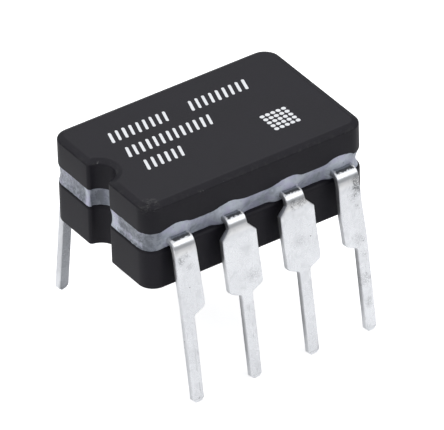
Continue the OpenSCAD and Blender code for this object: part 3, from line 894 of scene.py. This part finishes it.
def lead_piece(n):
    """One lead: the strip's section swept from the fingertip to the pin's tip."""
    row = -1 if n <= 4 else 1
    lines = strip_lines(lead_column(n))
    bm = bmesh.new()
    layers = [bm.verts.layers.float.new(name) for name in ("edge", "inside", "inner")]
    sheets = [handled(folded(line[:, 0], line[:, 1], height), n) for line, height, _ in lines]
    rings = []
    for i in range(len(sheets[0])):
        ring = []
        for sheet, (_, _, marks) in zip(sheets, lines):
            x, y, z = sheet[i]
            vert = bm.verts.new((x + FRAME_SHIFT, row * y, z))
            for layer, mark in zip(layers, marks):
                vert[layer] = mark
            ring.append(vert)
        rings.append(ring)
    for a, b in zip(rings, rings[1:]):
        skin(bm, a, b)
    bm.faces.new(rings[0])
    bm.faces.new(rings[-1])
    piece = mesh_object(f"tinned_lead_{n}", bm)
    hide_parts(f"lead_{n}")
    return piece


# Seal glass: it leans out from its foot to the lid, swells round the leads and is hollow between

# Steps up the outer wall, its plain top, its insets where it ends below and above, and its dents' depth
GLASS_STEPS = 14
GLASS_TOP = LID_BOTTOM + 0.155
LEAST_INSET = 0.004
TOP_INSET = 0.006
DENT_DEPTH = 0.014

# How far a collar and a hollow reach along the row, from the middle of each
COLLAR_REACH = 0.95
HOLLOW_REACH = 0.80

# How far from the body's middle the glass starts to take an end's form, and the run over which it does
END_START = HALF_LENGTH - 0.825
END_RUN = 0.6

# Painted highlights on the glass: the height where a collar's starts, the heights of the low strip and of
# the rim at the notch's end, and how far a collar's highlight reaches
COLLAR_FOOT = BASE_TOP + 0.28
LOW_HIGHLIGHT = BASE_TOP + 0.18
RIM_HIGHLIGHT = LID_BOTTOM + 0.10
HIGHLIGHT_REACH = 0.75

# How deep within the body's outline a place still counts as on its side
SIDE_DEPTH = 0.1

# On the notch's end: how far from the middle the two halves and the far corner start
HALF_START = 0.8
CORNER_START = 1.5


def arm_places():
    """X of the middle of each arm where it leaves the glass."""
    return np.array([neck_x(k) + FRAME_SHIFT for k in range(LAST_COLUMN + 1)])


def ripples(plan, z, size, seed):
    """Noise from -1 to 1 at each point of a plan."""
    return np.array([ripple(x, y, z, size, seed) for x, y in plan])


def glass_wall(bm, wall):
    """Rings of the outer wall, from its foot on the base to its top against the lid. The foot's inset,
    the top's height and the swell are each a plain size and what each place and ripple adds to it."""
    plan = wall.points(0)
    arms = arm_places()
    between = (arms[1:] + arms[:-1]) / 2
    long_side = np.abs(wall.out[:, 1]) > 0.99
    among_arms = long_side & (np.abs(plan[:, 0]) < LEAD_PITCH * LAST_COLUMN / 2)
    from_arm = np.abs(plan[:, :1] - arms).min(axis=1)
    from_between = np.abs(plan[:, :1] - between).min(axis=1)
    collar = np.where(long_side, smooth(1 - from_arm / COLLAR_REACH), 0)
    hollow = np.where(among_arms, smooth(1.25 * (1 - (from_between / HOLLOW_REACH) ** 2)), 0)
    in_notch = np.where(wall.kind == "notch", 1.0, 0.0)
    notch_end = smooth((-plan[:, 0] - END_START) / END_RUN) * (1 - in_notch)
    plain_end = smooth((plan[:, 0] - END_START) / END_RUN)
    wave = ripples(plan, 0, 0.45, 3.7)
    jag = ripples(plan, 0, 0.13, 8.1)
    slow = ripples(plan, 0, 1.3, 5.3)
    foot = 0.075 + 0.16 * hollow - 0.06 * notch_end + 0.016 * wave + 0.010 * jag
    top = GLASS_TOP + 0.12 * collar - 0.045 * notch_end - 0.03 * in_notch
    top = top + 0.030 * wave + 0.016 * jag + 0.03 * slow
    swell = 0.015 + 0.100 * collar - 0.020 * in_notch - 0.075 * notch_end - 0.11 * plain_end
    swell = swell - 0.02 * hollow + 0.012 * slow + 0.006 * wave
    rings = []
    for j in range(GLASS_STEPS + 1):
        t = j / GLASS_STEPS
        lean = smooth(t)
        dent = ripples(plan, t * 0.7, 0.22, 1.9) * DENT_DEPTH * math.sin(math.pi * t)
        belly = math.sin(math.pi * t ** 0.85) ** 0.9 if 0 < t < 1 else 0
        inset = np.maximum(foot, LEAST_INSET) * (1 - lean) - swell * belly + dent + TOP_INSET * lean
        rings.append(add_ring(bm, wall.ring(inset, BASE_TOP + (top - BASE_TOP) * t)))
    return rings


def mark_glass(mesh, wall):
    """Marks where the glass gets painted highlights, painted shade or coarse speckle."""
    x, y, z = vertex_points(mesh).T
    from_arm = np.abs(x[:, None] - arm_places()).min(axis=1)
    collar = smooth(1 - from_arm / HIGHLIGHT_REACH) * smooth((z - COLLAR_FOOT) / 0.25)
    collar = collar * (np.abs(y) > HALF_WIDTH - SIDE_DEPTH)
    at_end = x < SIDE_DEPTH - HALF_LENGTH
    near_lip = at_end * smooth(1 - np.abs(y + wall.lip_y + 0.18) / 0.42)
    far_lip = at_end * smooth(1 - np.abs(y - wall.lip_y - 0.05) / 0.20)
    near_half = at_end * smooth((-y - HALF_START) / 0.2)
    far_half = at_end * smooth((y - HALF_START) / 0.2)
    far_corner = at_end * smooth((y - CORNER_START) / 0.9)
    low_highlight = near_half * smooth(1 - np.abs(z - LOW_HIGHLIGHT) / 0.14)
    rim_highlight = (near_half + far_half) * smooth(1 - np.abs(z - RIM_HIGHLIGHT) / 0.07)
    in_recess = at_end * (np.abs(y) < wall.lip_y)
    # Painted highlights where the collars, lips, low strip, rim and far corner catch the light
    glass_highlight = 0.54 * collar + 0.95 * near_lip + 0.75 * far_lip + 0.55 * low_highlight + 0.5 * rim_highlight
    glass_highlight = glass_highlight + 0.04 * far_half + 0.30 * far_corner
    shallow = np.clip(near_lip + far_lip + 0.3 * in_recess, 0, 1)
    leave_mark(mesh, "glass_highlight", np.clip(glass_highlight, 0, 1))
    # Painted shade toward the notch's end, kept off its lips and recess
    leave_mark(mesh, "end_shade", smooth((-x - END_START) / 0.4) * (1 - shallow))
    leave_mark(mesh, "coarse", (near_half + far_half) * smooth((-x - END_START - 0.3) / 0.4))


def glass_piece():
    """The ring of glass, with the arms' collars, tucked in under the lid's edge and hollow inside."""
    wall = Wall(step=0.045, arc_steps=22)
    bm = bmesh.new()
    rings = glass_wall(bm, wall)
    tuck = add_ring(bm, wall.ring(SEAL_EDGE, LID_BOTTOM))
    rings.append(tuck)
    for a, b in zip(rings, rings[1:]):
        skin(bm, a, b)
    shelf = FRAME_BOTTOM + FINGER_SINK
    floor_ring = add_ring(bm, cavity_outline(DIE_CAVITY, BASE_TOP))
    step_in = add_ring(bm, cavity_outline(DIE_CAVITY, shelf))
    step_out = add_ring(bm, cavity_outline(LID_CAVITY, shelf))
    roof_ring = add_ring(bm, cavity_outline(LID_CAVITY, LID_BOTTOM))
    flat_ring(bm, rings[0], floor_ring)
    skin(bm, floor_ring, step_in)
    flat_ring(bm, step_out, step_in)
    skin(bm, step_out, roof_ring)
    flat_ring(bm, tuck, roof_ring)
    piece = mesh_object("sealing_glass", bm, smooth_angle=60)
    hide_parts("seal_glass")
    mark_glass(piece.data, wall)
    return piece


# White ink on the lid: rows of plain hatch and a square patch of dots

# The ink's height, how deep it starts, how far its edge wanders, the angle past which an edge looks
# crisp, and the steps round the end of a stroke
INK_HEIGHT = 0.008
INK_SINK = 0.004
INK_WANDER = 0.014
INK_CREASE = 30
CAP_STEPS = 8

# Hatch strokes: width, rise, distance apart and lean, and each row's start and count
STROKE_WIDTH = 0.115
STROKE_RISE = 0.52
STROKE_APART = 0.295
STROKE_LEAN = 0.16
HATCH_ROWS = [((-3.30, 1.22), 9), ((0.20, 1.22), 9), ((-3.30, 0.10), 13), ((-3.20, -0.96), 6)]

# The patch: its middle, how many dots go each way from it, and their width, half length and distance apart
PATCH_MIDDLE = np.array([2.42, -1.12])
DOTS_EACH_WAY = 2
DOT_WIDTH = 0.185
DOT_HALF = np.array([0.001, 0])
DOT_APART = 0.235


def ink_stroke(bm, a, b, width, seed):
    """A flat stroke with round ends, whose edge wanders a little."""
    a, b = np.array(a, float), np.array(b, float)
    length = np.linalg.norm(b - a)
    along = (b - a) / length
    start = math.atan2(along[1], along[0])
    outline = []
    for centre, turn in ((b, -90), (a, 90)):
        for k in range(CAP_STEPS + 1):
            angle = start + math.radians(turn + 180 * k / CAP_STEPS)
            outline.append(centre + np.array([math.cos(angle), math.sin(angle)]) * width / 2)
    outline = np.array(outline)
    rings = []
    for grow, lift in ((1.0, -INK_SINK), (1.0, 0.5 * INK_HEIGHT), (0.86, INK_HEIGHT)):
        ring = []
        for p in outline:
            wander = INK_WANDER * ripple(p[0], p[1], 0, 0.12, seed)
            spine = a + along * np.clip((p - a) @ along, 0, length)
            q = spine + (p - spine) * (grow + wander / (width / 2))
            ring.append(bm.verts.new((q[0], q[1], LID_TOP + lift)))
        rings.append(ring)
    for lower, upper in zip(rings, rings[1:]):
        skin(bm, lower, upper)
    bm.faces.new(rings[0])
    bm.faces.new(rings[-1])


def ink_rows():
    """Rows of plain hatch: short parallel strokes that all lean the same way."""
    bm = bmesh.new()
    for (start, y), count in HATCH_ROWS:
        for i in range(count):
            x = start + i * STROKE_APART
            ink_stroke(bm, (x, y), (x + STROKE_LEAN, y + STROKE_RISE), STROKE_WIDTH, seed=4.4)
    return mesh_object("ink_rows", bm, INK_CREASE)


def ink_patch():
    """A square patch of plain dots."""
    bm = bmesh.new()
    steps = range(-DOTS_EACH_WAY, DOTS_EACH_WAY + 1)
    for i in steps:
        for j in steps:
            dot = PATCH_MIDDLE + np.array([i, j]) * DOT_APART
            ink_stroke(bm, dot - DOT_HALF, dot + DOT_HALF, DOT_WIDTH, seed=6.2)
    return mesh_object("ink_patch", bm, INK_CREASE)


# Build and dress the pieces

ceramic = finish("black_pressed_ceramic", black_ceramic)
glass = finish("grey_sealing_glass", sealing_glass)
tin = finish("tinned_strip", tinned)
ink = finish("white_ink", white_ink)

base = ceramic_block("pressed_base", "ceramic_base", BASE_BOTTOM, BASE_TOP, DIE_CAVITY, DIE_CAVITY_DEPTH)
dress(base, ceramic)
lid = ceramic_block("pressed_lid", "ceramic_lid", LID_TOP, LID_BOTTOM, LID_CAVITY, LID_CAVITY_DEPTH)
dress(lid, ceramic)
dress(glass_piece(), glass)
for number in range(1, 9):
    dress(lead_piece(number), tin)
dress(ink_rows(), ink)
dress(ink_patch(), ink)
dress(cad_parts["silicon_die"], finish("silicon_chip", silicon))
dress(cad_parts["die_attach"], finish("gold_die_attach", gold_attach))
wire = finish("drawn_aluminium", drawn_wire)
for number in range(1, 9):
    dress(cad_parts[f"bond_wire_{number}"], wire)


# Floor, light and camera

# The floor's reach and its drop below the tips, in metres, and where it fades, in millimetres
FLOOR_REACH = 2.0
FLOOR_DROP = 2e-6
FLOOR_FADE = (18, 55)

# The point that the soft lights are turned to, in millimetres
LIT_MIDDLE = (0, 0, 5)

# The photograph's width in pixels, the sensor's in millimetres, and what the outlines gave: angles in
# degrees, the point looked at and the distance in millimetres, the scale, and the shift in pixels
PHOTO_WIDTH = 444
SENSOR_WIDTH = 36
VIEW_ANGLES = (-33.16, 34.82, -1.88)
VIEW_CENTRE = (0, 0, 4.1)
VIEW_DISTANCE = 343.2
PIXELS_PER_MM = 27.33
VIEW_SHIFT = (-11.11, 3.71)


def floor_finish(g):
    """White round the part and grey far off, with a glow of its own for the camera and for mirrors."""
    path = "ShaderNodeLightPath"
    camera = g.node(path, output="Is Camera Ray")
    mirrored = (g.node(path, output="Is Glossy Ray") + g.node(path, output="Is Transmission Ray")).clamped()
    far = g.reach(g.place(), (0, 0, 0)).fade(*FLOOR_FADE)
    to_others = g.mix(mirrored, grey(0.0), grey(0.12))
    to_camera = g.mix(far, grey(0.655), grey(0.80))
    return {
        "Base Color": g.mix(far, grey(0.82), grey(0.30)),
        "Roughness": 1.0,
        "Specular IOR Level": 0.0,
        "Emission Color": g.mix(camera, to_others, to_camera),
        "Emission Strength": 1.0,
    }


def lay_floor():
    """A wide square floor, a hair below the tips."""
    mesh = bpy.data.meshes.new("floor")
    sides = ((-1, -1), (1, -1), (1, 1), (-1, 1))
    corners = [(x * FLOOR_REACH, y * FLOOR_REACH, -FLOOR_DROP) for x, y in sides]
    mesh.from_pydata(corners, [], [(0, 1, 2, 3)])
    floor = bpy.data.objects.new("floor", mesh)
    bpy.context.scene.collection.objects.link(floor)
    dress(floor, finish("white_floor", floor_finish))


def light_room():
    """A pale room, bright overhead and dim near the horizon."""
    world = bpy.data.worlds.new("room")
    bpy.context.scene.world = world
    world.use_nodes = True
    g = Graph(world.node_tree)
    height = g.axis(g.node("ShaderNodeTexCoord", output="Generated"), "Z")
    sky = g.mix(height.fade(0.05, 0.55), grey(0.15, 0.03), grey(0.70, 0.02))
    camera = g.node("ShaderNodeLightPath", output="Is Camera Ray")
    back = g.node("ShaderNodeBackground", {}, {"Color": g.mix(camera, sky, grey(1.0)), "Strength": 1.0})
    g.node("ShaderNodeOutputWorld", {}, {"Surface": back})


def soft_light(name, place, size, level):
    """A square soft light of that radiance, turned to the part. Sizes and places are in millimetres."""
    lamp = bpy.data.lights.new(name, "AREA")
    lamp.shape = "SQUARE"
    lamp.size = size * MM
    lamp.energy = level * math.pi * (size * MM) ** 2
    made = bpy.data.objects.new(name, lamp)
    bpy.context.scene.collection.objects.link(made)
    made.location = Vector(place) * MM
    made.rotation_euler = (Vector(place) - Vector(LIT_MIDDLE)).to_track_quat("Z", "Y").to_euler()


def set_camera():
    """The photograph's view: direction, roll, distance and scale, all found from its outlines."""
    azimuth, elevation, roll = (math.radians(a) for a in VIEW_ANGLES)
    aside, aloft = (shift / PIXELS_PER_MM for shift in VIEW_SHIFT)
    back = Vector((math.sin(azimuth) * math.cos(elevation), -math.cos(azimuth) * math.cos(elevation),
                   math.sin(elevation)))
    level = Vector((math.cos(azimuth), math.sin(azimuth), 0))
    steep = back.cross(level)
    right = math.cos(roll) * level + math.sin(roll) * steep
    above = -math.sin(roll) * level + math.cos(roll) * steep
    camera = bpy.data.objects.new("camera", bpy.data.cameras.new("camera"))
    bpy.context.scene.collection.objects.link(camera)
    place = Vector(VIEW_CENTRE) + back * VIEW_DISTANCE - right * aside + above * aloft
    turn = Matrix((right, above, back)).transposed().to_4x4()
    camera.matrix_world = Matrix.Translation(place * MM) @ turn
    camera.data.sensor_width = SENSOR_WIDTH
    camera.data.lens = SENSOR_WIDTH * PIXELS_PER_MM * VIEW_DISTANCE / PHOTO_WIDTH
    camera.data.clip_start = 0.01
    camera.data.clip_end = 10
    bpy.context.scene.camera = camera


lay_floor()
light_room()
soft_light("overhead", (30, 90, 170), 220, 1.0)
soft_light("key", (110, -150, 160), 150, 1.9)
soft_light("side", (-165, 10, 70), 120, 1.15)
set_camera()
bpy.context.scene.view_settings.view_transform = "Standard"
